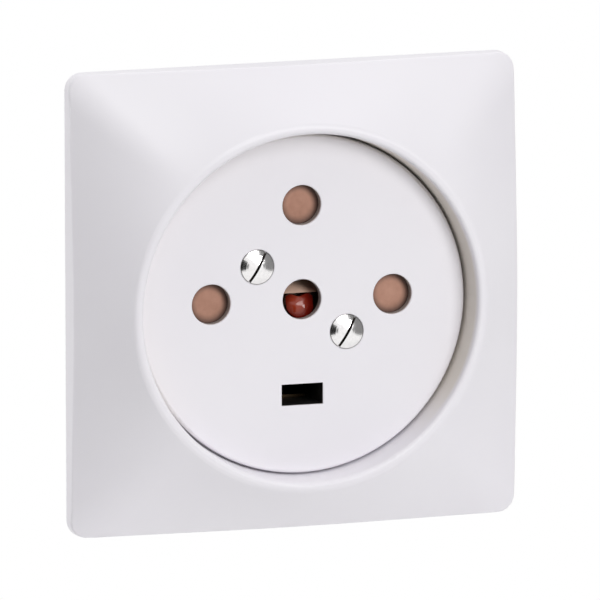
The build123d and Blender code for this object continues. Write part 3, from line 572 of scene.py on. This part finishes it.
# Cover screws: the two slotted raised-head screws that hold the cover and the plate.
# Steel, turned and polished, then nickel plated: bright, with fine rings from the turning.
nickel_plate, tree, surface, place = new_finish("nickel_plated_steel")
slot_width, head_radius = 0.00042, 0.003
own = add(tree, "ShaderNodeAttribute", attribute_name="turned").outputs["Vector"]
level_place = add(tree, "ShaderNodeVectorMath", {0: own, 1: (1.0, 1.0, 0.0)}, operation="MULTIPLY")
reach = add(tree, "ShaderNodeVectorMath", {0: level_place}, operation="LENGTH").outputs["Value"]
# Real turning marks are finer than this spacing, which is as fine as the render shows.
mark_spacing = 0.00025
phase = add(tree, "ShaderNodeMath", {0: reach, 1: 2 * pi / mark_spacing}, operation="MULTIPLY")
rings = add(tree, "ShaderNodeMath", {0: phase}, operation="SINE")
scuffs = add(tree, "ShaderNodeTexNoise", {"Vector": place, "Scale": 1 / 0.0006, "Detail": 4.0})
tint = add(tree, "ShaderNodeMix", {0: scuffs, 6: linear("#DCDADA"), 7: linear("#F2F0F0")}, data_type="RGBA")
dull = add(tree, "ShaderNodeMapRange", {"Value": scuffs, "To Min": 0.08, "To Max": 0.2})
# Painted shade: the slot's floor and walls and the head's outer edge are darkened, standing in for the shade
# in the slot and the shadow round the head.
own_part = add(tree, "ShaderNodeSeparateXYZ", {0: own}).outputs
off_slot = add(tree, "ShaderNodeMath", {0: own_part[1]}, operation="ABSOLUTE")
slot_painted_shade = add(tree, "ShaderNodeMapRange", {
    "Value": off_slot, "From Min": slot_width / 2 + 0.00001, "From Max": slot_width / 2 + 0.00004,
    "To Min": 0.93, "To Max": 0.0,
})
rim_painted_shadow = add(tree, "ShaderNodeMapRange", {
    "Value": reach, "From Min": head_radius - 0.00016, "From Max": head_radius - 0.00007,
    "To Min": 0.0, "To Max": 0.75,
})
screw_painted_shade = add(tree, "ShaderNodeMath", {0: slot_painted_shade, 1: rim_painted_shadow}, operation="MAXIMUM")
tint = add(tree, "ShaderNodeMix", {0: screw_painted_shade, 6: tint.outputs[2], 7: linear("#38342F")}, data_type="RGBA")
skin = add(tree, "ShaderNodeBump", {"Height": rings, "Strength": 0.05, "Distance": 0.00001})
shader = add(tree, "ShaderNodeBsdfPrincipled", {
    "Base Color": tint.outputs[2], "Metallic": 1.0, "Roughness": dull, "Normal": skin,
})
tree.links.new(shader.outputs[0], surface)

raised_head = {
    "Head Radius": head_radius, "Head Height": 0.0, "Cone Depth": 0.0015, "Dome": 0.00075,
    "Shank Radius": 0.0015, "Length": 0.0104, "Thread Length": 0.0078, "Pitch": 0.0005,
    "Slot Width": slot_width, "Slot Depth": 0.00095, "Finish": nickel_plate,
}
raised_head_edge, slot_turn, head_seat = 0.00008, 60, -0.0072
for side, x, z in (("left", -0.008, 0.006), ("right", 0.008, -0.006)):
    seat = (x, head_seat, z)
    screw = grow(f"face_screw_{side}", seat, (0, -1, 0), radians(slot_turn), screw_tree, raised_head)
    break_edges(screw, raised_head_edge)
    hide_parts(f"cover_screw_{side}")
    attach(screw, "socket")


# Studio: white light from above, below, behind and the rear left, and two soft lamps in front.
# Polished surfaces also see dark cards at the sides, the camera sees plain white, and the floor
# stays below the picture.
floor_radius, floor_height = 0.25, -0.16
bpy.ops.mesh.primitive_circle_add(
    vertices=64, radius=floor_radius, fill_type="NGON", location=(0, 0, floor_height)
)
floor = bpy.context.object
floor.name = "studio_floor"
pale_floor, tree, surface, _ = new_finish("pale_studio_floor")
shader = add(tree, "ShaderNodeBsdfDiffuse", {"Color": linear("#F4F4F4")})
tree.links.new(shader.outputs[0], surface)
floor.data.materials.append(pale_floor)

world = bpy.data.worlds.new("studio")
bpy.context.scene.world = world
world.use_nodes = True
tree = world.node_tree
tree.nodes.clear()
ray = add(tree, "ShaderNodeLightPath").outputs
way = add(tree, "ShaderNodeTexCoord").outputs["Generated"]
part = add(tree, "ShaderNodeSeparateXYZ", {0: way}).outputs
behind = add(tree, "ShaderNodeMapRange", {
    "Value": part[1], "From Min": 0.2, "From Max": 0.6,
}, interpolation_type="SMOOTHSTEP")
far_behind = add(tree, "ShaderNodeMapRange", {
    "Value": part[1], "From Min": 0.35, "From Max": 0.65,
}, interpolation_type="SMOOTHSTEP")
left_part = add(tree, "ShaderNodeMath", {0: part[0], 1: 0.0}, operation="MINIMUM")
left_square = add(tree, "ShaderNodeMath", {0: left_part, 1: left_part}, operation="MULTIPLY")
height_square = add(tree, "ShaderNodeMath", {0: part[2], 1: part[2]}, operation="MULTIPLY")
front_strength, rear_strength, rear_left_strength = 1.24, 1.35, 6.6
front_light = add(tree, "ShaderNodeMath", {0: height_square, 1: front_strength}, operation="MULTIPLY")
# Straight behind it is dimmer, so that white backs don't clip.
aslant = add(tree, "ShaderNodeMapRange", {
    "Value": part[1], "From Min": 0.6, "From Max": 0.85, "To Min": 1.0, "To Max": 0.15,
}, interpolation_type="SMOOTHSTEP")
rear_light = add(tree, "ShaderNodeMath", {0: aslant, 1: rear_strength}, operation="MULTIPLY")
soft = add(tree, "ShaderNodeMix", {0: behind, 2: front_light, 3: rear_light}, data_type="FLOAT")
rear_left = add(tree, "ShaderNodeMath", {0: left_square, 1: far_behind}, operation="MULTIPLY")
rear_left = add(tree, "ShaderNodeMath", {0: rear_left, 1: aslant}, operation="MULTIPLY")
soft = add(tree, "ShaderNodeMath", {
    0: rear_left, 1: rear_left_strength, 2: soft,
}, operation="MULTIPLY_ADD")
# Each dark card has a direction, the cosines at its soft and its full edge, and the share it takes away.
dark_cards = (((-0.53, -0.84, -0.02), 0.945, 0.965, 0.98), ((0.85, -0.45, 0.28), 0.78, 0.84, 0.75))
mirrored_front, mirrored_rear = 1.1, 0.6
mirrored = add(tree, "ShaderNodeMix", {0: behind, 2: mirrored_front, 3: mirrored_rear}, data_type="FLOAT")
for direction, outer, inner, darkness in dark_cards:
    nearness = add(tree, "ShaderNodeVectorMath", {
        0: way, 1: Vector(direction).normalized(),
    }, operation="DOT_PRODUCT")
    card = add(tree, "ShaderNodeMapRange", {
        "Value": nearness.outputs["Value"], "From Min": outer, "From Max": inner,
        "To Min": 1.0, "To Max": 1.0 - darkness,
    }, interpolation_type="SMOOTHSTEP")
    mirrored = add(tree, "ShaderNodeMath", {0: mirrored, 1: card}, operation="MULTIPLY")
camera_ray, glossy_ray, clear_ray = ray["Is Camera Ray"], ray["Is Glossy Ray"], ray["Is Transmission Ray"]
mirrored = add(tree, "ShaderNodeMix", {0: camera_ray, 2: mirrored, 3: 1.0}, data_type="FLOAT")
shown = add(tree, "ShaderNodeMath", {0: camera_ray, 1: glossy_ray}, operation="MAXIMUM")
shown = add(tree, "ShaderNodeMath", {0: shown, 1: clear_ray}, operation="MAXIMUM")
light = add(tree, "ShaderNodeBackground", {"Color": linear("#FFFFFF"), "Strength": soft})
seen = add(tree, "ShaderNodeBackground", {"Color": linear("#FFFFFF"), "Strength": mirrored})
either = add(tree, "ShaderNodeMixShader", {0: shown, 1: light, 2: seen})
add(tree, "ShaderNodeOutputWorld", {"Surface": either})

lamp_distance = 1.0
for name, direction, width, energy in (
    ("key_lamp", (0.38, -0.89, 0.2), 0.4, 3.05), ("upper_lamp", (0.06, -0.86, 0.5), 0.5, 3.1),
):
    lamp_from = Vector(direction).normalized()
    lamp = bpy.data.objects.new(name, bpy.data.lights.new(name, "AREA"))
    lamp.data.shape, lamp.data.size, lamp.data.energy = "DISK", width, energy
    lamp.location = lamp_from * lamp_distance
    lamp.rotation_euler = lamp_from.to_track_quat("Z", "Y").to_euler()
    bpy.context.scene.collection.objects.link(lamp)

# The camera stands left of the socket and a little above it, far off with a long lens.
azimuth, elevation, roll, distance = radians(-18.4), radians(9.8), radians(-0.15), 3.0
pixels_per_metre, picture_width, sensor_width = 5875, 600, 36
picture_right, picture_down = 2.15, 0.6
back = Vector((sin(azimuth) * cos(elevation), -cos(azimuth) * cos(elevation), sin(elevation)))
right = Vector((cos(azimuth), sin(azimuth), 0))
up = back.cross(right)
aim = Vector((0, head_seat, 0)) - (right * picture_right + up * picture_down) / pixels_per_metre
camera = bpy.data.objects.new("camera", bpy.data.cameras.new("camera"))
camera.data.sensor_width = sensor_width
camera.data.lens = sensor_width * pixels_per_metre * distance / picture_width
camera.location = aim + back * distance
facing_out = back.to_track_quat("Z", "Y").to_matrix()
camera.rotation_euler = (facing_out @ Matrix.Rotation(roll, 3, "Z")).to_euler()
camera.data.clip_start, camera.data.clip_end = 0.1, 10
bpy.context.scene.collection.objects.link(camera)
bpy.context.scene.camera = camera
bpy.context.scene.view_settings.view_transform = "Standard"
